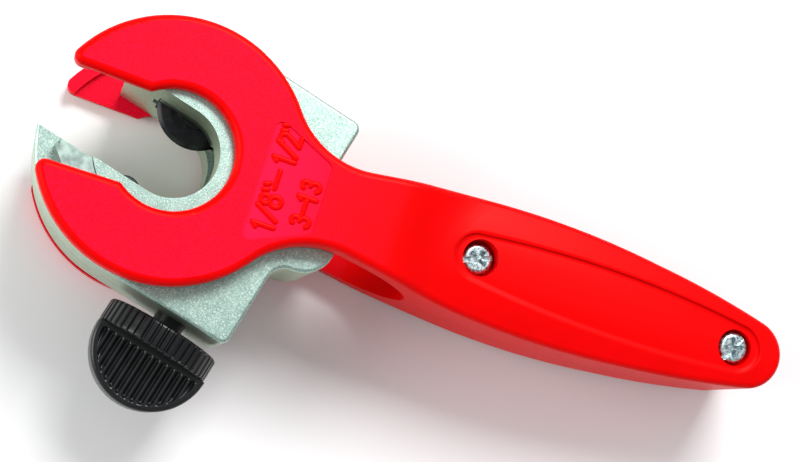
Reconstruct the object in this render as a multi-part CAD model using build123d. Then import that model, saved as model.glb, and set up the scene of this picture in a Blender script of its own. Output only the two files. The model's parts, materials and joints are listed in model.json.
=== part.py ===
from build123d import *
import math
import os

# Ratcheting tube cutter for 3 to 13 mm tube. Sizes in millimetres.
# The cutter head turns about Z inside a split ring at the end of the handle.
# +X runs along the handle, +Z is up through the ring. The tool lies on its rear shell.
# Shapes are drawn about the mid-plane of the tool and lifted by HALF_THICK when written.
# The head is drawn in its own plan directions, mouth towards -X, then turned by HEAD_TURN.

# Driving dimensions
HALF_THICK = 19.5        # mid-plane to the flat face of a shell
RING_R = 29.0            # outside radius of the split ring
RING_BORE_R = 13.2       # inside radius of the ring plates
MOUTH_HALF = 10.3        # half the mouth of the ring
SHELL_EDGE_R = 1.6       # rounding of the shells' outer edges
NECK_HALF = 9.3          # half the width of the neck
NECK_BLEND_R = 20.0      # concave run from ring to neck
NECK_DIP_R = 25.0        # concave run from the sloping neck into the handle's face
HANDLE_END_X = 146.9     # far end of the handle
HANDLE_TOP = 17.2        # mid-plane to the crest of the handle
CROWN_R = 42.0           # radius of the handle's crowned face, across it
CREST_R = 620.0          # radius of the same face along the handle
CREST_X = 85.0           # highest place of that face
WALL = 2.6               # wall of the hollow handle
PARTING_Z = -2.0         # where the two shells meet
RECESS_Z = 16.6          # floor of the round recess that carries the head
RECESS_R = 26.0          # radius of that recess
RIM_Z = 15.0             # inner face of the rim around the recess
GAP_Z = 13.6             # inner face of the neck, so the knob can pass
GAP_END_X = 60.5         # round end of the gap through the neck
SCREWS = {71.3: 21, 134.8: 62}  # place of each handle screw, and the direction of its slot
SCREW_X = tuple(SCREWS)
HEAD_TURN = -14.0        # how far the head is turned in the handle, degrees

HEAD_Z = 13.0            # half the thickness of the cutter body
BOSS_Z = 16.3            # top of the bosses that run in the shells
BOSS_R = 25.9            # radius of the running bosses
HUB_R = 16.8             # hub that carries the ratchet ring
SLOT_R = 10.2            # tube slot of the cutter body
BODY_RIGHT = 32.0
BODY_TOP = 28.3
BODY_BOTTOM = -28.9
BODY_EDGE_R = 0.8        # rounding of the cast edges
RIVET_R = 1.75
BODY_RIVETS = ((33, 1.5), (-15, -15), (4, -22), (28.6, 14), (-12.5, 17))
LOBE_X = 34.2
LOBE_R = 7.4
CHANNEL_Z = 6.0          # half the guide channel for the slide
SLIDE_Z = 5.9            # half the thickness of the slide
SLIDE_LEFT = -8.2
SLIDE_RIGHT = 25.0
SLIDE_ARM_Y = 8.1        # lower face of the arm that the feed screw drives
TRAVEL = 12.0            # travel of the slide, 12 turns of 1 mm pitch

WHEEL_R = 9.25
WHEEL_Y = 13.9           # cutter wheel centre when fully open
WHEEL_HALF = 1.6
PIN_R = 2.5
ROLLER_R = 3.6
ROLLER_X = 4.0
ROLLER_Y = -11.9
ROLLER_HALF = 9.0
ROLLER_PIN_R = 1.5
ROLLER_PIN_HALF = 11.5

SCREW_AXIS_X = 19.8      # feed screw beside the tube slot
FEED_R = 3.6
COLLAR_R = 13.3          # round collar of the thumb knob
COLLAR_TOP = -31.7
COLLAR_BOTTOM = -37.2
BLADE_R = 13.3           # half-round thumb blade
BLADE_HALF = 5.4
FLANGE_R = 5.5           # flange that holds the feed screw endwise
FLANGE_Y = -24.0
FLANGE_HALF = 1.0
FLANGE_GAP = 0.1
WASHER_THICK = 0.8
FEED_TOP = 26.0
KNOB_SEAT_Y = -44.0      # end of the feed screw, moulded into the knob

TEETH = 36
TOOTH_TIP_R = 24.7
TOOTH_ROOT_R = 23.4
TOOTH_FACE = 25.9        # direction of one tooth's steep face, degrees
RATCHET_BORE_R = 17.0
NOSE_ARC = 4.7           # length of a pawl's nose round the ring, degrees
PAWL_X = 31.5
PAWL_Y = 5.2
PAWL_LOW = 14.2
PAWL_HIGH = 16.3
PAWL_PIN_R = 1.5
PAWL_HEAD_Z = 13.7       # outer face of the pawl pins' heads, clear of the knob
PAWL_HEAD_THICK = 0.4
PAWL_HEAD_R = 2.6
SPRING_X = 38.8          # bend of the pawl spring, round a post
SPRING_BEND_R = 1.0
RING_RIVET_R = 20.4
RING_RIVET_ANGLES = (-125, -60, 15, 80)
HEAD_SEAT_Z = 11.4       # seat of the handle screws' heads
NUT_Z = -11.4            # seat of their nuts
NUT_R = 4.04             # across the corners of an M4 nut, halved
SEAM_DEEP = 0.25         # groove where two halves meet
SEAM_HIGH = 0.2
FIT = 0.05               # radial clearance of a running fit
GAP = 0.3                # gap between pieces that move past each other

os.makedirs("parts", exist_ok=True)


def prism(face, low, high):
    """A plan face made solid between two heights."""
    return extrude(Pos(0, 0, low) * face, amount=high - low)


def cylinder(x, y, radius, low, high):
    """A round bar along Z between two heights."""
    return prism(Pos(x, y) * Circle(radius), low, high)


def block(x0, x1, y0, y1, z0, z1):
    """A rectangular block between two corners."""
    centre = Pos((x0 + x1) / 2, (y0 + y1) / 2, (z0 + z1) / 2)
    return centre * Box(x1 - x0, y1 - y0, z1 - z0)


def polar(radius, degrees):
    """A plan point at a radius and direction."""
    angle = math.radians(degrees)
    return (radius * math.cos(angle), radius * math.sin(angle))


def polygon(points):
    """A plan face with straight sides."""
    return make_face(Polyline(*points, close=True))


def bar_y(x, z, radius, y0, y1):
    """A round bar along Y between two stations."""
    plane = Plane(origin=(x, y0, z), x_dir=(1, 0, 0), z_dir=(0, 1, 0))
    return extrude(plane * Circle(radius), amount=y1 - y0)


def seam(plan, low):
    """Fine groove round a plan, where one half meets the other."""
    inner = offset(plan, amount=-SEAM_DEEP)
    return prism(plan, low, low + SEAM_HIGH) - prism(inner, low, low + SEAM_HIGH)


def turned(shape):
    """Turn the head's own directions into the handle's."""
    return Rot(0, 0, HEAD_TURN) * shape


# --- handle shells -------------------------------------------------------

def handle_plan():
    """Neck and handle seen from above: blend, straight neck side, belly and round end."""
    blend_x = math.sqrt((RING_R + NECK_BLEND_R) ** 2 - (NECK_HALF + NECK_BLEND_R) ** 2)
    blend_y = NECK_HALF + NECK_BLEND_R
    share = RING_R / (RING_R + NECK_BLEND_R)
    start = (blend_x * share, blend_y * share)
    low = (blend_x - 5.0, blend_y - math.sqrt(NECK_BLEND_R ** 2 - 25.0))
    slope = math.radians(8.7)
    leave = (blend_x + NECK_BLEND_R * math.sin(slope), blend_y - NECK_BLEND_R * math.cos(slope))
    belly = (56.0, leave[1] + (56.0 - leave[0]) * math.tan(slope))
    shoulder = (112.0, 12.4)
    end_r = 8.05
    end_x, end_y = polar(end_r, 78.6)
    end = (HANDLE_END_X - end_r + end_x, end_y)
    side = [
        ThreePointArc(start, low, leave),
        Line(leave, belly),
        SagittaArc(belly, shoulder, 1.9),
        SagittaArc(shoulder, end, 0.45),
    ]
    tip = ThreePointArc(end, (HANDLE_END_X, 0), (end[0], -end[1]))
    other = [mirror(edge, Plane.XZ) for edge in side]
    close = Line((start[0], -start[1]), start)
    return make_face([*side, tip, *other, close])


def shell_plan():
    """Split ring with its mouth towards -X, neck and handle."""
    inside = MOUTH_HALF - 0.1
    flare = MOUTH_HALF + 0.5
    far = -RING_R - 5
    mouth = polygon([(0, inside), (far, flare), (far, -flare), (0, -inside)])
    plan = Circle(RING_R) + handle_plan() - Circle(RING_BORE_R) - mouth
    tips = plan.vertices().filter_by(lambda v: v.X < -20)
    plan = fillet(tips, 2.0)
    corners = plan.vertices().filter_by(lambda v: -10 < v.X < -5)
    return fillet(corners, 1.2)


def crown(drop):
    """Body whose top is the handle's face, crowned across and gently arched along."""
    ring = Torus(CREST_R - CROWN_R, CROWN_R)
    return Pos(CREST_X, 0, HANDLE_TOP - drop - CREST_R) * Rot(90, 0, 0) * ring


def neck_prism():
    """Side view of ring and neck, sloping down into the handle."""
    outline = [
        Line((-40, -1), (-40, HALF_THICK)),
        Line((-40, HALF_THICK), (49, HALF_THICK)),
        SagittaArc((49, HALF_THICK), (62, 15.2), 1.1),
        Line((62, 15.2), (62, -1)),
        Line((62, -1), (-40, -1)),
    ]
    return extrude(Plane.XZ * make_face(outline), amount=40, both=True)


def handle_blank(drop=0.0):
    """The crowned handle beyond the neck."""
    body = prism(handle_plan(), 0, HALF_THICK) & block(50, 150, -30, 30, 0, HALF_THICK)
    return body & crown(drop)


def panel_cut():
    """Shallow lens-shaped panel that follows the crown, round both screws."""
    lens = make_face([
        ThreePointArc((SCREW_X[0] - 1, 5.2), (103, 7.4), (SCREW_X[1] + 0.5, 5.6)),
        ThreePointArc((SCREW_X[1] + 0.5, 5.6), (141.0, 0), (SCREW_X[1] + 0.5, -5.6)),
        ThreePointArc((SCREW_X[1] + 0.5, -5.6), (103, -7.4), (SCREW_X[0] - 1, -5.2)),
        ThreePointArc((SCREW_X[0] - 1, -5.2), (65.2, 0), (SCREW_X[0] - 1, 5.2)),
    ])
    return prism(lens, 5, 25) - handle_blank(0.6)


def half_shell():
    """Outside of one shell above the mid-plane."""
    shell = (prism(shell_plan(), 0, HALF_THICK) & neck_prism()) + handle_blank()

    def crease(edge):
        box = edge.bounding_box()
        return box.min.X > 55 and box.max.X < 63 and box.min.Z > 10 and box.size.Y > 8

    def outline(edge):
        box = edge.bounding_box()
        across = 40 < box.min.X < 100 and box.min.Y < -5 and box.max.Y > 5
        return box.min.Z > 8 and not across

    shell = fillet(shell.edges().filter_by(crease), NECK_DIP_R)
    return fillet(shell.edges().filter_by(outline), SHELL_EDGE_R)


def head_room(recess_r):
    """Space for the head between the plates, with the round end of the neck gap."""
    arch_x = GAP_END_X - GAP_Z
    room = block(-40, arch_x, -40, 40, -GAP_Z, GAP_Z)
    room += bar_y(arch_x, 0, GAP_Z, -40, 40)
    room += cylinder(0, 0, RING_R + 0.5, -RIM_Z, RIM_Z)
    return room + cylinder(0, 0, recess_r, -RECESS_Z, RECESS_Z)


def handle_hollow():
    """Hollow of the handle, leaving a boss round each screw."""
    plan = make_face([
        Line((66, -9.0), (66, 9.0)),
        SagittaArc((66, 9.0), (112, 9.4), 1.5),
        SagittaArc((112, 9.4), (136, 6.2), 0.4),
        ThreePointArc((136, 6.2), (143.6, 0), (136, -6.2)),
        SagittaArc((136, -6.2), (112, -9.4), 0.4),
        SagittaArc((112, -9.4), (66, -9.0), 1.5),
    ])
    room = prism(plan, -1, 30) & crown(WALL)
    room += mirror(room, Plane.XY)
    for x in SCREW_X:
        room -= cylinder(x, 0, 5.9, -30, 30)
    return room


def pawl_pocket():
    """Pocket in the front shell for the two pawls and their spring."""
    upper = [polar(22.5, 33), polar(28.0, 33), (26.6, 12.0), (33.5, 8.5), (42, 7.5)]
    lower = [(x, -y) for x, y in reversed(upper)]
    pocket = prism(polygon(upper + lower), 0, RECESS_Z)
    pocket -= cylinder(SPRING_X, 0, SPRING_BEND_R, PAWL_LOW, RECESS_Z)
    for y in (PAWL_Y, -PAWL_Y):
        pocket += cylinder(PAWL_X, y, PAWL_PIN_R, GAP_Z, RECESS_Z + 1.8)
    return pocket


def label_recess():
    """Shallow trapezoid on the neck that carries the size marks."""
    plate = polygon([(19.0, 14.2), (33.4, 7.8), (33.4, -7.8), (19.0, -14.2)])
    plate = fillet(plate.vertices(), 1.6)
    return prism(plate, HALF_THICK - 0.4, HALF_THICK + 1)


def make_front_shell():
    shell = half_shell()
    skirt = prism(handle_plan(), PARTING_Z, 0) & block(40, 150, -30, 30, PARTING_Z, 0)
    shell += skirt
    shell -= head_room(TOOTH_TIP_R + 0.1)
    shell -= handle_hollow()
    shell -= panel_cut()
    shell -= label_recess()
    shell -= pawl_pocket()
    shell -= seam(handle_plan(), PARTING_Z) & block(64, 160, -30, 30, PARTING_Z, 0)
    for x in SCREW_X:
        shell -= cylinder(x, 0, 4.15, HEAD_SEAT_Z, 30)
        shell -= cylinder(x, 0, 2.2, PARTING_Z - 1, 30)
    return shell


def make_rear_shell():
    shell = mirror(half_shell(), Plane.XY)
    shell -= block(0, 160, -40, 40, PARTING_Z, 1)
    shell -= head_room(RECESS_R)
    shell -= handle_hollow()
    for x in SCREW_X:
        shell -= cylinder(x, 0, 2.2, -30, 1)
        shell -= prism(Pos(x, 0) * RegularPolygon(NUT_R + 0.1, 6), -30, NUT_Z)
    return shell


def make_handle_screws():
    """Two M4 pan head screws with a cross recess and a slot."""
    screws = Part()
    top = HEAD_SEAT_Z + 2.6
    for x, slot in SCREWS.items():
        shank = cylinder(x, 0, 2.0, NUT_Z - 3.6, HEAD_SEAT_Z)
        head = cylinder(x, 0, 3.5, HEAD_SEAT_Z, top)
        head = fillet(head.edges().group_by(Axis.Z)[-1], 1.0)
        head -= Pos(x, 0, top) * Rot(0, 0, slot) * Box(7.2, 1.2, 1.6)
        for arm in (45, -45):
            head -= Pos(x, 0, top) * Rot(0, 0, slot + arm) * Box(4.4, 1.0, 3.4)
        screws += shank + head
    return screws


def make_handle_nuts():
    nuts = Part()
    for x in SCREW_X:
        nut = prism(Pos(x, 0) * RegularPolygon(NUT_R, 6), NUT_Z - 3.2, NUT_Z)
        nuts += nut - cylinder(x, 0, 2.0 + FIT, NUT_Z - 4, NUT_Z + 1)
    return nuts


# --- ratchet -------------------------------------------------------------

def nose(face, gap):
    """Corners of a pawl nose that sits before a steep face, clear of the ramp below it."""
    rise = (TOOTH_TIP_R - TOOTH_ROOT_R) * TEETH / 360
    front = face - gap
    back = front - NOSE_ARC
    return [
        polar(TOOTH_ROOT_R + GAP + rise * gap, front),
        polar(TOOTH_TIP_R + 0.5, front),
        polar(TOOTH_TIP_R + 1.3, back),
        polar(TOOTH_ROOT_R + GAP + rise * (gap + NOSE_ARC), back),
    ]


def finish_pawl(outline, y):
    """Pawl plate with its round pivot and pin hole."""
    plan = polygon(outline) + Pos(PAWL_X, y) * Circle(2.8)
    plan -= Pos(PAWL_X, y) * Circle(PAWL_PIN_R + FIT)
    return prism(plan, PAWL_LOW, PAWL_HIGH)


def make_pawl_upper():
    """Pawl that pushes the teeth."""
    tip, side, back, heel = nose(TOOTH_FACE, 2.1)
    arm = [tip, side, (31.4, 8.0), (34.5, 5.4), (34.5, 2.4), (30.0, 2.4), back, heel]
    return finish_pawl(arm, PAWL_Y)


def make_pawl_lower():
    """Hooked pawl that pulls the teeth the same way, five teeth round."""
    tip, side, back, heel = nose(TOOTH_FACE - 50, 0.8)
    arm = [tip, side, (29.4, -2.4), (34.5, -2.4), (34.5, -5.4), (31.4, -8.0), (26.2, -10.6), back, heel]
    return finish_pawl(arm, -PAWL_Y)


def make_pawl_pins():
    """Headed pins that hold the pawls in the front shell."""
    pins = Part()
    for y in (PAWL_Y, -PAWL_Y):
        pins += cylinder(PAWL_X, y, PAWL_PIN_R, PAWL_HEAD_Z, RECESS_Z + 1.8)
        pins += cylinder(PAWL_X, y, PAWL_HEAD_R, PAWL_HEAD_Z, PAWL_HEAD_Z + PAWL_HEAD_THICK)
    return pins


def make_pawl_spring():
    """Bent leaf spring between the tails of the pawls, held round a post."""
    outer = SPRING_BEND_R + 0.5
    plan = Pos(SPRING_X, 0) * (Circle(outer) - Circle(SPRING_BEND_R))
    plan -= Pos(SPRING_X - 5, 0) * Rectangle(10, 2.0)
    for side in (1, -1):
        arm = [(SPRING_X, SPRING_BEND_R), (SPRING_X, outer), (31.6, 1.9), (31.6, 1.4)]
        plan += polygon([(x, side * y) for x, y in arm])
    return prism(plan, PAWL_LOW + 0.1, PAWL_HIGH - 0.1)


def mouth_room(grow):
    """Everything in front of the tube slot, from the slot's centre towards the mouth."""
    half = SLOT_R + grow
    return block(-40, 0, -half, half, -30, 30) + cylinder(0, 0, half, -30, 30)


def upper_jaw_room():
    """Space before the short upper jaw of the cutter body."""
    return prism(polygon([(-40, 0), (-17.0, 0), (-17.0, 10), (-14.0, 40), (-40, 40)]), -30, 30)


def make_ratchet_ring():
    """C-shaped ring with saw teeth on its rim, open where the tube goes in."""
    pitch = 360 / TEETH
    first = TOOTH_FACE - HEAD_TURN
    rim = []
    for tooth in range(TEETH):
        face = first + tooth * pitch
        rim += [polar(TOOTH_ROOT_R, face), polar(TOOTH_TIP_R, face)]
    ring = prism(polygon(rim) - Circle(RATCHET_BORE_R), HEAD_Z, BOSS_Z)
    ring -= mouth_room(0.6)
    ring -= upper_jaw_room()
    for angle in RING_RIVET_ANGLES:
        ring -= cylinder(*polar(RING_RIVET_R, angle), 1.5, 0, 30)
    return ring


def make_ring_rivets():
    """Flush rivets from the ratchet ring into the front half of the body."""
    rivets = Part()
    for angle in RING_RIVET_ANGLES:
        rivets += cylinder(*polar(RING_RIVET_R, angle), 1.5, 8, BOSS_Z)
    return rivets


# --- cutter body ---------------------------------------------------------

def body_plan():
    """Round lower jaw, square right side, and a round lobe behind the tube slot."""
    height = BODY_TOP - BODY_BOTTOM
    middle = (BODY_TOP + BODY_BOTTOM) / 2
    plan = Pos(0, middle) * Circle(height / 2)
    side = Pos(BODY_RIGHT / 2, middle) * Rectangle(BODY_RIGHT, height)
    plan += fillet(side.vertices().filter_by(lambda v: v.X > 1), 2.0)
    plan += Pos(LOBE_X, 0) * Circle(LOBE_R)
    notches = plan.vertices().filter_by(lambda v: v.X > 30 and 4 < abs(v.Y) < 9)
    return fillet(notches, 4.0)


def body_hollows():
    """Tube slot, guide channel, pockets and bores shared by both halves."""
    guide = block(SLIDE_LEFT - GAP, SLIDE_RIGHT + GAP, 0, 40, -CHANNEL_Z, CHANNEL_Z)
    low = SLIDE_ARM_Y - TRAVEL - GAP
    guide += block(0, SLIDE_RIGHT + GAP, low, 0, -CHANNEL_Z, CHANNEL_Z)
    room = mouth_room(0) + upper_jaw_room() + guide
    room += block(-WHEEL_R - GAP, 0, 0, WHEEL_Y + WHEEL_R + GAP, -WHEEL_HALF - GAP, WHEEL_HALF + GAP)
    for x in (-ROLLER_X, ROLLER_X):
        room += cylinder(x, ROLLER_Y, ROLLER_R + GAP, -ROLLER_HALF - GAP, ROLLER_HALF + GAP)
        room += cylinder(x, ROLLER_Y, ROLLER_PIN_R, -ROLLER_PIN_HALF, ROLLER_PIN_HALF)
    room += bar_y(SCREW_AXIS_X, 0, FEED_R + FIT, BODY_BOTTOM - 5, 0)
    half = FLANGE_HALF + FLANGE_GAP + WASHER_THICK
    room += bar_y(SCREW_AXIS_X, 0, FLANGE_R + FIT, FLANGE_Y - half, FLANGE_Y + half)
    for x, y in BODY_RIVETS:
        room += cylinder(x, y, RIVET_R, -30, HEAD_Z)
    for angle in RING_RIVET_ANGLES:
        room += cylinder(*polar(RING_RIVET_R, angle), 1.5, 8, BOSS_Z)
    return room


def make_body_front():
    """Front half of the zinc body, with the hub of the ratchet ring."""
    half = prism(body_plan(), 0, HEAD_Z)
    half = fillet(half.edges().group_by(Axis.Z)[-1], BODY_EDGE_R)
    half += cylinder(0, 0, HUB_R, 0, BOSS_Z)
    return half - seam(body_plan(), 0) - body_hollows()


def make_body_rear():
    """Rear half of the zinc body, with the round boss that turns in the rear shell."""
    half = prism(body_plan(), -HEAD_Z, 0)
    half = fillet(half.edges().group_by(Axis.Z)[0], BODY_EDGE_R)
    half += cylinder(0, 0, BOSS_R, -BOSS_Z, 0)
    return half - body_hollows()


def make_body_rivets():
    """Flush rivets that hold the two halves of the body together."""
    rivets = Part()
    for x, y in BODY_RIVETS:
        low = -BOSS_Z if math.hypot(x, y) < BOSS_R else -HEAD_Z
        rivets += cylinder(x, y, RIVET_R, low, HEAD_Z)
    return rivets


def make_roller_pins():
    """Pins of the two rollers, held at both ends in the body."""
    pins = Part()
    for x in (-ROLLER_X, ROLLER_X):
        pins += cylinder(x, ROLLER_Y, ROLLER_PIN_R, -ROLLER_PIN_HALF, ROLLER_PIN_HALF)
    return pins


def make_roller(x):
    """Steel roller with rounded ends and a shallow groove for flared tube ends."""
    roller = cylinder(x, ROLLER_Y, ROLLER_R, -ROLLER_HALF, ROLLER_HALF)
    roller = chamfer(roller.edges(), 0.5)
    groove = cylinder(x, ROLLER_Y, ROLLER_R + 1, 4.0, 5.6)
    groove -= cylinder(x, ROLLER_Y, ROLLER_R - 0.7, 4.0, 5.6)
    return roller - groove - cylinder(x, ROLLER_Y, ROLLER_PIN_R + FIT, -20, 20)


def make_thrust_washers():
    """Washers on both sides of the feed screw's flange."""
    washers = Part()
    inner = FLANGE_HALF + FLANGE_GAP
    for start in (FLANGE_Y - inner - WASHER_THICK, FLANGE_Y + inner):
        disc = bar_y(SCREW_AXIS_X, 0, FLANGE_R, start, start + WASHER_THICK)
        washers += disc - bar_y(SCREW_AXIS_X, 0, FEED_R + 0.2, start - 1, start + 2)
    return washers


# --- slide and cutter wheel ----------------------------------------------

def make_slide():
    """Slide that carries the cutter wheel and is driven by the feed screw beside it."""
    top = BODY_TOP - 0.3
    reach = math.sqrt((SLOT_R + 0.2) ** 2 - SLIDE_ARM_Y ** 2)
    plan = make_face([
        Line((SLIDE_LEFT, SLOT_R + 0.2), (0, SLOT_R + 0.2)),
        ThreePointArc((0, SLOT_R + 0.2), polar(SLOT_R + 0.2, 70), (reach, SLIDE_ARM_Y)),
        Line((reach, SLIDE_ARM_Y), (SLIDE_RIGHT, SLIDE_ARM_Y)),
        Line((SLIDE_RIGHT, SLIDE_ARM_Y), (SLIDE_RIGHT, top)),
        Line((SLIDE_RIGHT, top), (-4.0, top)),
        Line((-4.0, top), (SLIDE_LEFT, 25.5)),
        Line((SLIDE_LEFT, 25.5), (SLIDE_LEFT, SLOT_R + 0.2)),
    ])
    slide = prism(plan, -SLIDE_Z, SLIDE_Z)
    slide -= cylinder(0, WHEEL_Y, WHEEL_R + 0.5, -WHEEL_HALF - 0.15, WHEEL_HALF + 0.15)
    slide -= cylinder(0, WHEEL_Y, PIN_R, -10, 10)
    return slide - bar_y(SCREW_AXIS_X, 0, FEED_R + FIT, 0, 40)


def make_wheel_pin():
    return cylinder(0, WHEEL_Y, PIN_R, -SLIDE_Z, SLIDE_Z)


def make_cutter_wheel():
    """Hardened wheel ground to a sharp rim."""
    half = [
        (PIN_R + FIT, -WHEEL_HALF), (6.0, -WHEEL_HALF), (WHEEL_R, -0.08),
        (WHEEL_R, 0.08), (6.0, WHEEL_HALF), (PIN_R + FIT, WHEEL_HALF),
    ]
    section = Plane.XZ * polygon(half)
    return Pos(0, WHEEL_Y, 0) * revolve(section, Axis.Z)


# --- feed screw and knob -------------------------------------------------

def make_feed_screw():
    """Feed screw with the flange that holds it endwise."""
    screw = bar_y(SCREW_AXIS_X, 0, FEED_R, KNOB_SEAT_Y, FEED_TOP)
    screw += bar_y(SCREW_AXIS_X, 0, FLANGE_R, FLANGE_Y - FLANGE_HALF, FLANGE_Y + FLANGE_HALF)
    return chamfer(screw.edges().group_by(Axis.Y)[-1], 0.8)


def make_knob():
    """Moulded thumb knob: a ribbed round collar and a half-round ribbed blade."""
    ribs = 48
    rim = []
    for rib in range(ribs):
        for share, radius in ((0.0, COLLAR_R - 0.5), (0.3, COLLAR_R), (0.6, COLLAR_R)):
            rim.append(polar(radius, (rib + share) * 360 / ribs))
    plane = Plane(origin=(SCREW_AXIS_X, COLLAR_BOTTOM, 0), x_dir=(1, 0, 0), z_dir=(0, 1, 0))
    collar = extrude(plane * polygon(rim), amount=COLLAR_TOP - COLLAR_BOTTOM)
    half = Circle(BLADE_R) - Pos(0, BLADE_R) * Rectangle(3 * BLADE_R, 2 * BLADE_R)
    blade = prism(Pos(SCREW_AXIS_X, COLLAR_BOTTOM) * half, -BLADE_HALF, BLADE_HALF)
    pitch = 2.0
    for rib in range(-6, 7):
        for side in (1, -1):
            groove = Box(0.9, 40, 1.0)
            blade -= Pos(SCREW_AXIS_X + rib * pitch, COLLAR_BOTTOM - 20, side * BLADE_HALF) * groove
    return collar + blade - bar_y(SCREW_AXIS_X, 0, FEED_R, KNOB_SEAT_Y, 0)


# --- write every piece ---------------------------------------------------

handle_pieces = {
    "front_shell": make_front_shell(),
    "rear_shell": make_rear_shell(),
    "handle_screws": make_handle_screws(),
    "handle_nuts": make_handle_nuts(),
    "pawl_upper": make_pawl_upper(),
    "pawl_lower": make_pawl_lower(),
    "pawl_pins": make_pawl_pins(),
    "pawl_spring": make_pawl_spring(),
}
head_pieces = {
    "body_front": make_body_front(),
    "body_rear": make_body_rear(),
    "body_rivets": make_body_rivets(),
    "ratchet_ring": make_ratchet_ring(),
    "ring_rivets": make_ring_rivets(),
    "roller_pins": make_roller_pins(),
    "roller_left": make_roller(-ROLLER_X),
    "roller_right": make_roller(ROLLER_X),
    "thrust_washers": make_thrust_washers(),
    "slide_jaw": make_slide(),
    "wheel_pin": make_wheel_pin(),
    "cutter_wheel": make_cutter_wheel(),
    "feed_screw": make_feed_screw(),
    "thumb_knob": make_knob(),
}
pieces = dict(handle_pieces)
for name, piece in head_pieces.items():
    pieces[name] = turned(piece)
for name, piece in pieces.items():
    export_step(Pos(0, 0, HALF_THICK) * piece, f"parts/{name}.step")
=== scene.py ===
import json
import math

import bmesh
import bpy
import numpy as np
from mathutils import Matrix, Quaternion, Vector


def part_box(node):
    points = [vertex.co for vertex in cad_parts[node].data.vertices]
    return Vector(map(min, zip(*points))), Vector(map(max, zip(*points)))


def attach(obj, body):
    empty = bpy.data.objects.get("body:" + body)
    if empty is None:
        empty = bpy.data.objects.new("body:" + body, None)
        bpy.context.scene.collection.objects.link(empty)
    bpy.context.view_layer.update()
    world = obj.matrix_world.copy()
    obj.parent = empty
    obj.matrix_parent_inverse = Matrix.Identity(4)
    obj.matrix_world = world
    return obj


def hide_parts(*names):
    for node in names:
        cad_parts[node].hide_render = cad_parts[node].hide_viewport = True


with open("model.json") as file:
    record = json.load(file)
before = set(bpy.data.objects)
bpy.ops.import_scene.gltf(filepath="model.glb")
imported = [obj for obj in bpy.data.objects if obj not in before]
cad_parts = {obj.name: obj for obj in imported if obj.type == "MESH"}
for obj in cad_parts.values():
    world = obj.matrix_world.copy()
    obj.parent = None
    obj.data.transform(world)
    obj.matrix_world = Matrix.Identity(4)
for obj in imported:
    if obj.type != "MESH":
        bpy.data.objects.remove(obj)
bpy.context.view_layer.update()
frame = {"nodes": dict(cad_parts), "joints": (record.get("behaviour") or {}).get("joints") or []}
nodes = frame["nodes"]
scene = bpy.context.scene
MM = 0.001


# --- studio ---------------------------------------------------------------
# The tool lies on its rear shell on a white table. One softbox stands high up beyond
# the ring's +Y side, a second one stands before the mouth, and the room is a soft white.

EYE = Vector((-18.0, -64.9, 399.5)) * MM
AIM = Vector((55.3, 2.6, 19.5)) * MM
ROLL = math.radians(65.6)
camera_data = bpy.data.cameras.new("camera")
camera_data.lens = 77.55
camera_data.sensor_width = 36
camera_data.clip_start = 0.01
camera = bpy.data.objects.new("camera", camera_data)
scene.collection.objects.link(camera)
camera.rotation_mode = "QUATERNION"
camera.location = EYE
camera.rotation_quaternion = (AIM - EYE).to_track_quat("-Z", "Y") @ Quaternion((0, 0, 1), ROLL)
scene.camera = camera
scene.view_settings.view_transform = "Standard"

world = bpy.data.worlds.new("room")
world.use_nodes = True
world.node_tree.nodes["Background"].inputs["Color"].default_value = (0.96, 0.98, 1.0, 1)
world.node_tree.nodes["Background"].inputs["Strength"].default_value = 0.46
scene.world = world


def softbox(name, place, aim, size, power):
    """A square area light that faces a point."""
    data = bpy.data.lights.new(name, "AREA")
    data.shape = "SQUARE"
    data.size = size
    data.energy = power
    light = bpy.data.objects.new(name, data)
    scene.collection.objects.link(light)
    light.location = place
    light.rotation_mode = "QUATERNION"
    light.rotation_quaternion = (Vector(aim) - Vector(place)).to_track_quat("-Z", "Y")


softbox("softbox_far", (0.10, 0.52, 0.70), (0.02, 0.0, 0.03), 0.35, 6.5)
softbox("softbox_mouth", (-0.75, -0.15, 0.45), (0.0, 0.0, 0.02), 0.5, 4.5)

TABLE_HALF = 3.0
table_mesh = bpy.data.meshes.new("table")
corners = [(TABLE_HALF * x, TABLE_HALF * y) for x, y in ((-1, -1), (1, -1), (1, 1), (-1, 1))]
table_mesh.from_pydata([(x, y, -0.2 * MM) for x, y in corners], [], [(0, 1, 2, 3)])
table = bpy.data.objects.new("table", table_mesh)
scene.collection.objects.link(table)


# --- table top: the finish's tools are made here ----------------------------
# Matt white laminate, faintly uneven so that it isn't a dead flat white.

class Wire:
    """A socket of a material; + - * and ** on it add Math nodes."""

    def __init__(self, finish, socket):
        self.finish = finish
        self.socket = socket

    def maths(self, operation, *values):
        return self.finish.node("ShaderNodeMath", {"operation": operation}, dict(enumerate(values)))

    def __add__(self, other):
        return self.maths("ADD", self, other)

    def __sub__(self, other):
        return self.maths("SUBTRACT", self, other)

    def __mul__(self, other):
        return self.maths("MULTIPLY", self, other)

    def __pow__(self, other):
        return self.maths("POWER", self, other)

    __radd__ = __add__
    __rmul__ = __mul__

    def between(self, low, high):
        """0 below low, 1 above high, smooth between them."""
        sockets = {"Value": self, "From Min": low, "From Max": high}
        return self.finish.node("ShaderNodeMapRange", {"interpolation_type": "SMOOTHSTEP"}, sockets)


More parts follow.
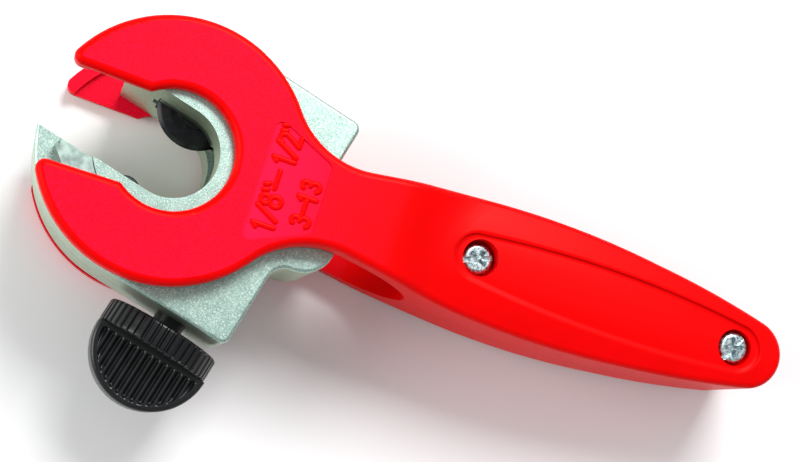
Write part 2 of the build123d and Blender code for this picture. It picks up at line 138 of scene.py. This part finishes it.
class Finish:
    """A material and its main shader. Keywords are constants of that shader's sockets."""

    def __init__(self, name, **constants):
        self.material = bpy.data.materials.new(name)
        self.material.use_nodes = True
        self.tree = self.material.node_tree
        self.shader = self.tree.nodes["Principled BSDF"]
        for socket, value in constants.items():
            self.shader.inputs[socket.replace("_", " ")].default_value = value
        self.place = self.node("ShaderNodeTexCoord", output="Object")

    def node(self, kind, settings=None, sockets=None, output=0):
        """Adds a node: first its settings, then the values or links of its sockets."""
        made = self.tree.nodes.new(kind)
        for setting, value in (settings or {}).items():
            setattr(made, setting, value)
        for socket, value in (sockets or {}).items():
            self.join(made.inputs[socket], value)
        return Wire(self, made.outputs[output])

    def join(self, socket, value):
        if isinstance(value, Wire):
            self.tree.links.new(value.socket, socket)
        else:
            socket.default_value = value

    def noise(self, size, detail=2.0, rough=0.5, place=None):
        """Noise between 0 and 1 whose features are about size across, in metres."""
        sockets = {"Vector": place or self.place, "Scale": 1 / size, "Detail": detail, "Roughness": rough}
        return self.node("ShaderNodeTexNoise", None, sockets)

    def mix(self, share, first, second):
        """A colour between two colours."""
        made = self.tree.nodes.new("ShaderNodeMix")
        made.data_type = "RGBA"
        for socket, value in zip((made.inputs[0], made.inputs[6], made.inputs[7]), (share, first, second)):
            self.join(socket, value)
        return Wire(self, made.outputs[2])

    def axis(self, name):
        """One coordinate of the place on the object, in metres."""
        return self.node("ShaderNodeSeparateXYZ", None, {0: self.place}, name)

    def bump(self, height, deep, strength=1.0):
        """Normals of a relief that is deep metres high."""
        return self.node("ShaderNodeBump", None, {"Height": height, "Distance": deep, "Strength": strength})

    def done(self, colour, rough, relief=None):
        self.join(self.shader.inputs["Base Color"], colour)
        self.join(self.shader.inputs["Roughness"], rough)
        if relief is not None:
            self.join(self.shader.inputs["Normal"], relief)
        return self.material


def paint(material, *names):
    """Puts a material in every slot of the named CAD nodes."""
    for name in names:
        slots = nodes[name].data.materials
        slots.clear()
        slots.append(material)


laminate = Finish("laminate", Specular_IOR_Level=0.1)
table_mesh.materials.append(laminate.done(
    laminate.mix(laminate.noise(0.2), (0.90, 0.90, 0.90, 1), (0.92, 0.92, 0.92, 1)), 0.7))


# --- handle shells ----------------------------------------------------------
# Two halves moulded in red nylon. The mould is spark textured on the flat faces
# and polished on the rounded edges. Two screws hold the halves together.

PANEL_MIDDLE = 103.1 * MM
PANEL_HALF_LONG = 37.9 * MM
PANEL_HALF_WIDE = 7.2 * MM
PANEL_CORNER = 5.0 * MM
PANEL_BOW = 1.9           # fall of the half width, per metre of the squared way
PANEL_STEP = 0.9 * MM     # half the run of the eased side
LABEL_DEEP = 0.4 * MM
LABEL_END = 40 * MM       # the neck slopes through the label's height further on
SHEEN_FADE = 10 * MM       # from here the painted sheen, a paler red on faces along Z, fades out
SHEEN_END = 62 * MM
label_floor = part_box("front_shell")[1].z - LABEL_DEEP


def red_nylon(name, grain):
    """Red moulding: a grain on faces that point along Z, smoother elsewhere. Those faces are also painted a
    paler, pinker red as painted sheen, and pinker still on the label floor; grain scales both the grain and
    the painted sheen.
    The sunk lens on the handle is eased: its sides lie at a half width that falls with the
    square of the way from its middle, its corners are round, and the surface climbs smoothly
    across this outline."""
    finish = Finish(name, Specular_IOR_Level=0.06)
    x, y, z = finish.axis("X"), finish.axis("Y"), finish.axis("Z")
    normal = finish.node("ShaderNodeTexCoord", output="Normal")
    facing = finish.node("ShaderNodeSeparateXYZ", None, {0: normal}, "Z")
    flat = facing.maths("ABSOLUTE", facing).between(0.992, 0.9995) * grain
    along = x - PANEL_MIDDLE
    beside = y.maths("ABSOLUTE", y) + along ** 2 * PANEL_BOW - PANEL_HALF_WIDE + PANEL_CORNER
    beyond = along.maths("ABSOLUTE", along) - PANEL_HALF_LONG + PANEL_CORNER
    out = beside.maths("MAXIMUM", beside, 0.0) ** 2 + beyond.maths("MAXIMUM", beyond, 0.0) ** 2
    step = (out ** 0.5 - PANEL_CORNER).between(-PANEL_STEP, PANEL_STEP)
    below_face = z.between(label_floor + 0.3 * MM, label_floor + 0.1 * MM)
    above_floor = z.between(label_floor - 0.3 * MM, label_floor - 0.1 * MM)
    sunk = flat * below_face * above_floor * x.between(LABEL_END + MM, LABEL_END)
    speckle = finish.noise(0.35 * MM, 3.0, 0.65)
    cloud = finish.noise(9 * MM)
    # face: the paler, pinker red of faces along Z is painted sheen; its speckle is the real grain
    face = finish.mix(speckle.between(0.35, 0.7), (0.74, 0.001, 0.016, 1), (0.97, 0.004, 0.036, 1))
    # the label floor is painted a still pinker red: a stronger painted sheen
    face = finish.mix(sunk, face, (1.0, 0.007, 0.060, 1))
    edge = finish.mix(cloud, (0.74, 0.0, 0.0, 1), (0.88, 0.0, 0.001, 1))
    rough = 0.36 + 0.14 * flat + 0.06 * speckle
    relief = finish.noise(0.25 * MM, 2.0, 0.6) * (0.006 + 0.014 * flat) + 0.5 * step
    # pale: share of the painted sheen on faces along Z, full up to SHEEN_FADE along X and gone at SHEEN_END
    pale = flat * x.between(SHEEN_END, SHEEN_FADE)
    return finish.done(finish.mix(pale, edge, face), rough, finish.bump(relief, MM))


paint(red_nylon("red_nylon", 1.0), "front_shell", "rear_shell")


# --- size marks -------------------------------------------------------------
# The tube sizes stand proud of a sunk label on the neck, as rounded strokes
# polished in the mould: 1/8" - 1/2" and 3 - 13. They are part of the front shell.

STROKE_HALF = 0.62 * MM
STROKE_HIGH = 0.39 * MM


def solid(name, *grids, ring=False, sharp=35):
    """One closed piece from grids of points, in metres.
    Each grid has rows of points; a row is a closed loop. Rows run from end to end, or round to
    the first again if ring is true. An end that isn't a pole is closed by one face."""
    points, faces, start = [], [], 0
    for grid in grids:
        rows, columns = grid.shape[:2]
        index = start + np.arange(rows * columns).reshape(rows, columns)
        low, high = (index, np.roll(index, -1, 0)) if ring else (index[:-1], index[1:])
        quads = np.stack([low, high, np.roll(high, -1, 1), np.roll(low, -1, 1)], -1)
        faces += quads.reshape(-1, 4).tolist()
        if not ring:
            faces += [index[0].tolist(), index[-1].tolist()]
        points.append(grid.reshape(-1, 3))
        start += rows * columns
    mesh = bpy.data.meshes.new(name)
    mesh.from_pydata(np.concatenate(points), [], faces)
    work = bmesh.new()
    work.from_mesh(mesh)
    bmesh.ops.remove_doubles(work, verts=work.verts, dist=0.0002 * MM)
    bmesh.ops.recalc_face_normals(work, faces=work.faces)
    work.to_mesh(mesh)
    work.free()
    mesh.polygons.foreach_set("use_smooth", [True] * len(mesh.polygons))
    mesh.set_sharp_from_angle(angle=math.radians(sharp))
    piece = bpy.data.objects.new(name, mesh)
    scene.collection.objects.link(piece)
    return piece


def line(start, end):
    """Points along a straight stroke."""
    return np.linspace(start, end, 6)


def arc(centre, radii, first, last):
    """Points along part of an ellipse, between two directions in degrees."""
    angle = np.radians(np.linspace(first, last, 25))
    return np.stack([centre[0] + radii[0] * np.cos(angle), centre[1] + radii[1] * np.sin(angle)], 1)


def stroke(path):
    """A half-round bead along a flat path, with round ends.
    Across the path it is a half ellipse; past each end its width and height shrink as the
    cosine of an angle while it moves on by the sine of that angle."""
    along = np.gradient(path, axis=0)
    along /= np.linalg.norm(along, axis=1)[:, None]
    cap = np.radians(np.linspace(90, 0, 6))[:-1]
    centre = np.concatenate([path[:1] - np.sin(cap)[:, None] * STROKE_HALF * along[:1], path,
                             (path[-1:] + np.sin(cap)[:, None] * STROKE_HALF * along[-1:])[::-1]])
    along = np.concatenate([np.repeat(along[:1], 5, 0), along, np.repeat(along[-1:], 5, 0)])
    scale = np.concatenate([np.cos(cap), np.ones(len(path)), np.cos(cap)[::-1]])
    turn = np.linspace(0, 2 * np.pi, 20, endpoint=False)
    across = np.stack([-along[:, 1], along[:, 0]], 1)
    flat = centre[:, None] + across[:, None] * (scale[:, None] * np.cos(turn) * STROKE_HALF)[..., None]
    high = label_floor + scale[:, None] * np.maximum(np.sin(turn), -0.3) * STROKE_HIGH
    return np.concatenate([flat, high[..., None]], 2)


GLYPHS = {
    "1": [line((-0.16, 0.82), (0.0, 0.98)), line((0.0, 1.0), (0.0, 0.0))],
    "2": [np.concatenate([arc((0, 0.76), (0.2, 0.22), 165, -30), line((0.1, 0.5), (-0.2, 0.02))]),
          line((-0.2, 0.0), (0.24, 0.0))],
    "3": [arc((0, 0.76), (0.2, 0.23), 150, -80), arc((0, 0.27), (0.24, 0.27), 80, -150)],
    "8": [arc((0, 0.76), (0.19, 0.22), 0, 360), arc((0, 0.27), (0.24, 0.27), 0, 360)],
    "/": [line((-0.26, 0.0), (0.26, 1.02))],
    "-": [line((-0.42, 0.5), (0.42, 0.5))],
    '"': [line((-0.16, 0.98), (-0.10, 0.78)), line((0.12, 0.98), (0.18, 0.78))],
}
# baseline across the neck, height, and each mark with its place along the line
LINES = (
    (25.2, 4.7, (("1", -9.3), ("/", -6.6), ("8", -3.8), ('"', -1.2), ("-", 0.9),
                 ("1", 5.6), ("/", 7.9), ("2", 10.0), ('"', 12.2))),
    (32.2, 4.0, (("3", -6.0), ("-", -3.0), ("1", -0.7), ("3", 1.9))),
)
beads = []
for base, high, marks in LINES:
    for mark, along in marks:
        for path in GLYPHS[mark]:
            place = np.stack([base - path[:, 1] * high, along + path[:, 0] * high], 1) * MM
            beads.append(stroke(place))
size_marks = solid("size_marks", *beads)
size_marks.data.materials.append(red_nylon("polished_red_nylon", 0.0))
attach(size_marks, "handle")


# --- handle screws, nuts and pins ---------------------------------------------
# M4 cross and slot screws of zinc plated steel, clamped by plain nuts; the pawls
# turn on headed pins of the same steel, and riveting leaves the body's rivets flush.

def zinc_plate(name, colour, dark):
    """Bright plating: bluish white with darker stains and a very fine grain."""
    finish = Finish(name, Metallic=1.0)
    stain = finish.noise(0.7 * MM, 3.0, 0.6)
    grain = finish.noise(0.12 * MM, 2.0)
    tone = finish.mix(stain.between(0.35, 0.62), dark, colour)
    rough = 0.24 + 0.24 * stain
    return finish.done(tone, rough, finish.bump(grain, 0.01 * MM, 0.35))


plated = zinc_plate("zinc_plate", (0.74, 0.86, 0.88, 1), (0.24, 0.32, 0.34, 1))
paint(plated, "handle_screws", "handle_nuts", "pawl_pins", "roller_pins", "wheel_pin", "thrust_washers")
rivet_steel = zinc_plate("rivet_steel", (0.50, 0.58, 0.56, 1), (0.22, 0.28, 0.27, 1))
paint(rivet_steel, "body_rivets", "ring_rivets")


# --- ratchet: ring, pawls and spring --------------------------------------------
# Blanked from hardened tool steel and left oiled. The spring is a bent strip.

def tool_steel(name, colour, oil):
    """Oiled steel: grey with darker oil in clouds, and fine grinding marks along X."""
    finish = Finish(name, Metallic=1.0)
    film = finish.noise(1.6 * MM, 3.0)
    long = finish.node("ShaderNodeMapping", None, {"Vector": finish.place, "Scale": (0.08, 1.0, 1.0)})
    grind = finish.noise(0.09 * MM, 2.0, 0.6, long)
    rough = 0.24 + 0.20 * film + 0.08 * grind
    tone = finish.mix(film.between(0.3, 0.7), oil, colour)
    return finish.done(tone, rough, finish.bump(grind, 0.008 * MM, 0.5))


oiled = tool_steel("tool_steel", (0.46, 0.46, 0.45, 1), (0.20, 0.19, 0.17, 1))
paint(oiled, "pawl_upper", "pawl_lower")
paint(tool_steel("ring_steel", (0.52, 0.66, 0.60, 1), (0.34, 0.45, 0.41, 1)), "ratchet_ring")
paint(tool_steel("spring_steel", (0.62, 0.62, 0.63, 1), (0.36, 0.36, 0.38, 1)), "pawl_spring")


# --- cutter body and slide --------------------------------------------------------
# Two zinc die castings, tumbled to a satin and passivated a pale green; their sparkle is partly bumped
# facets and partly painted glints.
# The slide between them is the same casting, rubbed bright where it runs.

def tumbled_zinc(name, pale, deep, glint, sparkle, rough_low):
    """Tumbled casting: small bumped facets that catch the light, with painted glints where the facet noise
    is highest, over faintly cloudy green metal.
    Upright walls are painted yellower, a painted reflection of the surroundings."""
    finish = Finish(name, Metallic=1.0)
    normal = finish.node("ShaderNodeTexCoord", output="Normal")
    facing = finish.node("ShaderNodeSeparateXYZ", None, {0: normal}, "Z")
    wall = facing.maths("ABSOLUTE", facing).between(0.6, 0.1)
    cloud = finish.noise(3.0 * MM, 3.0, 0.5)
    facet = finish.noise(0.32 * MM, 2.0, 0.7)
    pit = finish.noise(0.16 * MM, 1.0)
    tone = finish.mix((cloud * 0.2 + facet * 0.8).between(0.28, 0.68), deep, pale)
    # painted reflection: upright walls are mixed towards a khaki tint
    tone = finish.mix(wall * 0.55, tone, (0.58, 0.66, 0.44, 1))
    # painted glints: where the facet noise is highest the tone is mixed towards a near white
    tone = finish.mix(facet.between(0.58, 0.72) * 0.8, tone, glint)
    rough = rough_low + 0.08 * cloud + 0.08 * facet
    relief = facet * 0.7 + pit * 0.3
    return finish.done(tone, rough, finish.bump(relief, 0.05 * MM, sparkle))


# colour of the painted glints
GLINT = (0.90, 0.98, 0.95, 1)
zinc = tumbled_zinc("tumbled_zinc", (0.50, 0.67, 0.60, 1), (0.25, 0.37, 0.325, 1), GLINT, 0.7, 0.36)
paint(zinc, "body_front", "body_rear")
rubbed = tumbled_zinc("rubbed_zinc", (0.66, 0.78, 0.74, 1), (0.32, 0.41, 0.38, 1), GLINT, 0.3, 0.22)
paint(rubbed, "slide_jaw")


# --- rollers ------------------------------------------------------------------------
# Two blackened steel rollers side by side at the foot of the tube slot, each with a
# shallow groove near one end so that a flared tube can be cut off close to its flare.

def black_oxide(name):
    """Blackened steel: near black, browner where the film is thin, turned round finely."""
    finish = Finish(name, Metallic=0.3, Specular_IOR_Level=0.35)
    film = finish.noise(1.1 * MM, 3.0)
    fine = finish.noise(0.1 * MM, 2.0)
    colour = finish.mix(film.between(0.35, 0.75), (0.003, 0.004, 0.005, 1), (0.009, 0.011, 0.013, 1))
    return finish.done(colour, 0.24 + 0.10 * film + 0.05 * fine, finish.bump(fine, 0.006 * MM, 0.4))


blacked = black_oxide("black_oxide")


def rounded(profile, radius, steps=4):
    """A closed outline of straight runs whose corners are eased by a quadratic curve.
    Each corner gives way to the curve between the points one radius before and after it."""
    corner = np.array(profile, float)
    before, after = np.roll(corner, 1, 0) - corner, np.roll(corner, -1, 0) - corner
    lengths = [np.linalg.norm(v, axis=1)[:, None] for v in (before, after)]
    cut = np.minimum(radius, 0.45 * np.minimum(*lengths))
    start, end = corner + before / lengths[0] * cut, corner + after / lengths[1] * cut
    t = np.linspace(0, 1, steps)[:, None]
    curve = start[:, None] * (1 - t) ** 2 + 2 * corner[:, None] * t * (1 - t) + end[:, None] * t ** 2
    return curve.reshape(-1, 2)


def turning(profile, columns=96):
    """A profile of (radius, height) points turned about Z, as a grid with one row a height."""
    angle = np.linspace(0, 2 * np.pi, columns, endpoint=False)
    radius, height = np.array(profile, float).T[..., None]
    return np.stack([radius * np.cos(angle), radius * np.sin(angle), height + 0 * angle], -1)


ROLLER_BORE = 1.55 * MM
GROOVE_LOW = 4.0 * MM
GROOVE_HIGH = 5.6 * MM
NECK_DEEP = 0.7 * MM
END_EASE = 0.3 * MM

for side in ("left", "right"):
    node = f"roller_{side}"
    low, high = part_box(node)
    radius = (high.x - low.x) / 2
    centre = np.array([(low.x + high.x) / 2, (low.y + high.y) / 2, (low.z + high.z) / 2])
    half = (high.z - low.z) / 2
    neck = radius - NECK_DEEP
    outline = [(ROLLER_BORE, -half), (radius - END_EASE, -half), (radius, -half + 0.5 * MM),
               (radius, GROOVE_LOW), (neck, GROOVE_LOW + 0.3 * MM),
               (neck, GROOVE_HIGH - 0.3 * MM), (radius, GROOVE_HIGH),
               (radius, half - 0.5 * MM), (radius - END_EASE, half), (ROLLER_BORE, half)]
    roller = solid(f"{node}_turned", turning(rounded(outline, 0.25 * MM)) + centre, ring=True)
    roller.data.materials.append(blacked)
    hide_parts(node)
    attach(roller, node)


# --- cutter wheel -------------------------------------------------------------------
# Hardened and blackened wheel with a raised hub and two ground bevels that meet in
# a sharp rim. It spins on its pin in the slide.

low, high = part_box("cutter_wheel")
radius, half = (high.x - low.x) / 2, (high.z - low.z) / 2
centre = np.array([(low.x + high.x) / 2, (low.y + high.y) / 2, (low.z + high.z) / 2])
WHEEL_BORE = 2.55 * MM
HUB_R = 4.6 * MM
WEB_R = 6.4 * MM
EDGE_HALF = 0.04 * MM
web = 0.72 * half
face = [(WHEEL_BORE, half), (HUB_R, half), (HUB_R + 0.3 * MM, web), (WEB_R, web),
        (radius - 0.9 * MM, 0.32 * half)]
outline = [(r, -h) for r, h in face] + [(radius, -EDGE_HALF), (radius, EDGE_HALF)] + face[::-1]
disc = turning(rounded(outline, 0.08 * MM, 3), 160) + centre
wheel = solid("cutter_wheel_ground", disc, ring=True, sharp=20)
wheel.data.materials.append(blacked)
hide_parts("cutter_wheel")
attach(wheel, "wheel")


# --- feed screw -----------------------------------------------------------------------
# Blackened steel screw, turned with a thrust flange and cut with a 1 mm thread that
# drives the slide. Its plain end is moulded into the knob.

knob_joint = next(joint for joint in frame["joints"] if joint["name"] == "knob_turn")
down_axis = -np.array(knob_joint["axis"], float)
middle = np.array(knob_joint["pos_m"], float)


def along_screw(points):
    """Turns points drawn about Z, joint at the origin and knob up, to the screw's own line."""
    right = np.cross((0, 0, 1), down_axis)
    return middle + points @ np.stack([right, np.cross(down_axis, right), down_axis])


def reach(node):
    """How far a CAD node reaches along the screw, from the joint towards the knob."""
    points = np.array([v.co for v in nodes[node].data.vertices], float)
    depth = (points - middle) @ down_axis
    return depth.min(), depth.max()


SCREW_R = 3.6 * MM
FLANGE_R = 5.5 * MM
THREAD_DEEP = 0.55 * MM
PITCH = 1.0 * MM
TIP_EASE = 0.9 * MM
SCREW_COLUMNS = 48
tip, seat = reach("feed_screw")
flange = -12.0 * MM
thread_end = flange - 6 * MM
height = np.arange(tip + TIP_EASE, thread_end, PITCH / 8)
angle = np.linspace(0, 2 * np.pi, SCREW_COLUMNS, endpoint=False)
turn = (height[:, None] / PITCH - angle / (2 * np.pi)) % 1
fade = np.clip(np.minimum(height - height[0], height[-1] - height) / PITCH, 0, 1)[:, None]
radius = SCREW_R - THREAD_DEEP * fade * (1 - np.abs(2 * turn - 1)) ** 0.8
thread = np.stack([radius * np.cos(angle), radius * np.sin(angle), height[:, None] + 0 * angle], -1)
nose = turning([(0, tip), (SCREW_R - TIP_EASE, tip)], SCREW_COLUMNS)
eased = FLANGE_R - 0.2 * MM
shank = turning([(SCREW_R, thread_end), (SCREW_R, flange - MM), (eased, flange - MM),
                 (FLANGE_R, flange - 0.8 * MM), (FLANGE_R, flange + 0.8 * MM), (eased, flange + MM),
                 (SCREW_R, flange + MM), (SCREW_R, seat - 0.2 * MM),
                 (SCREW_R - 0.2 * MM, seat), (0, seat)], SCREW_COLUMNS)
screw = solid("feed_screw_threaded", along_screw(np.concatenate([nose, thread, shank])))
screw.data.materials.append(blacked)
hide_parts("feed_screw")
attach(screw, "knob")


# --- thumb knob ---------------------------------------------------------------------------
# One black nylon moulding on the screw: a round collar with upright ribs, and a half-round
# blade whose two faces have grooves that stop short of its smooth rim.

RIBS = 44
RIB_DEEP = 0.5 * MM
COLLAR_HIGH = 5.5 * MM
GROOVE_PITCH = 1.85 * MM
GROOVE_DEEP = 0.75 * MM
RIM_EASE = 0.9 * MM
BLADE_HALF = 5.4 * MM
SMOOTH_RIM = 0.5 * MM
SMOOTH_ROOT = 0.8 * MM
top, bottom = reach("thumb_knob")
below = top + COLLAR_HIGH
collar_r = (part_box("thumb_knob")[1].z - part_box("thumb_knob")[0].z) / 2
ease = 0.7 * MM
bend = np.radians(np.linspace(90, 0, 7))
rim = [(collar_r - ease + ease * math.cos(b), top + ease - ease * math.sin(b)) for b in bend]
foot = [(r, top + below - h) for r, h in reversed(rim)]
middle_rows = [(collar_r, h) for h in np.linspace(top + ease, below - ease, 5)[1:-1]]
profile = [(0, top), (collar_r * 0.6, top), *rim, *middle_rows, *foot, (collar_r * 0.6, below), (0, below)]
collar = turning(profile, RIBS * 12)
angle = np.linspace(0, 2 * np.pi, RIBS * 12, endpoint=False)
valley = np.clip(1.3 * np.cos(RIBS * angle) - 0.1, 0, 1) * RIB_DEEP
outer = np.array(profile)[:, 0] > collar_r - ease * 0.9
collar[outer, :, :2] *= (1 - valley / collar_r)[None, :, None]

blade_top = below - 0.02 * MM
blade_r = bottom - blade_top - 0.02 * MM
face_r = blade_r - RIM_EASE
sweep = np.radians(np.linspace(-90, 90, 321))[:, None]
share = np.linspace(0, 1, 61)[None, :]
across = face_r * np.sin(sweep) + 0 * share
depth = face_r * np.cos(sweep) * share
edge_room = face_r - SMOOTH_RIM - np.hypot(across, depth)
shade = np.clip(edge_room / (0.7 * MM), 0, 1) ** 0.5 * np.clip((depth - SMOOTH_ROOT) / (0.5 * MM), 0, 1)
wave = 0.5 + 0.5 * np.cos(2 * np.pi * across / GROOVE_PITCH)
level = BLADE_HALF - GROOVE_DEEP * wave * shade
curl = np.radians(np.linspace(90, -90, 17))[None, 1:-1]
rim_r = face_r + RIM_EASE * np.cos(curl)
upright = np.sign(np.round(np.sin(curl), 9))
rim_z = (BLADE_HALF - RIM_EASE) * upright + RIM_EASE * np.sin(curl)
front = np.stack([across, level, depth], -1)
round_edge = np.stack([rim_r * np.sin(sweep), rim_z + 0 * sweep, rim_r * np.cos(sweep)], -1)
blade = np.concatenate([front, round_edge, (front * (1, -1, 1))[:, ::-1]], 1) + (0, 0, blade_top)
knob = solid("thumb_knob_ribbed", along_screw(collar), along_screw(blade), sharp=50)


def black_nylon(name):
    """Black moulding: very fine grain and a little grey bloom in clouds."""
    finish = Finish(name, Specular_IOR_Level=0.45)
    grain = finish.noise(0.2 * MM, 2.0, 0.6)
    bloom = finish.noise(4 * MM, 3.0)
    tone = (grain * 0.4 + bloom * 0.6).between(0.35, 0.75)
    colour = finish.mix(tone, (0.002, 0.0025, 0.003, 1), (0.006, 0.008, 0.008, 1))
    return finish.done(colour, 0.20 + 0.12 * grain + 0.06 * bloom, finish.bump(grain, 0.02 * MM, 0.4))


knob.data.materials.append(black_nylon("black_nylon"))
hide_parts("thumb_knob")
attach(knob, "knob")


bpy.context.view_layer.update()
